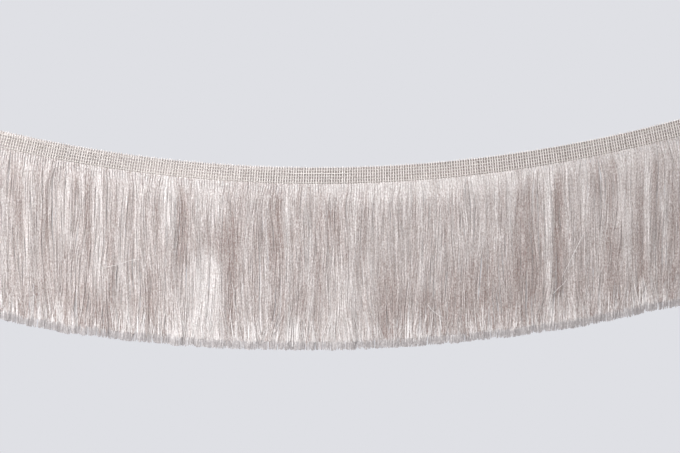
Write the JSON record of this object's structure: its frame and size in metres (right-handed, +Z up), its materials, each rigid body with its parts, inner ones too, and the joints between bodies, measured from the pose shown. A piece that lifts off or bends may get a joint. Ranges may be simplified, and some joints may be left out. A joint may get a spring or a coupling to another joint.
{
  "type": "chainette fringe trim",
  "caption": "Cut length of pale chainette fringe trim: a narrow ribbed woven heading with a straight skirt of fine silky yarn, hanging in a shallow swag.",
  "frame": {"origin": "lowest point of the heading's top edge, at the middle of the swag, where the trim is held", "axes": "+X along the trim, -Y out of its face, +Z up"},
  "size_m": [0.4648, 0.006, 0.1431],
  "materials": {
    "heading_yarn": "ribbed woven silky yarn",
    "skirt_yarn": "silky spun chainette yarn"
  },
  "bodies": {
    "root": {"heading": "heading_yarn", "fringe_front": "skirt_yarn", "fringe_rear": "skirt_yarn"}
  },
  "joints": []
}
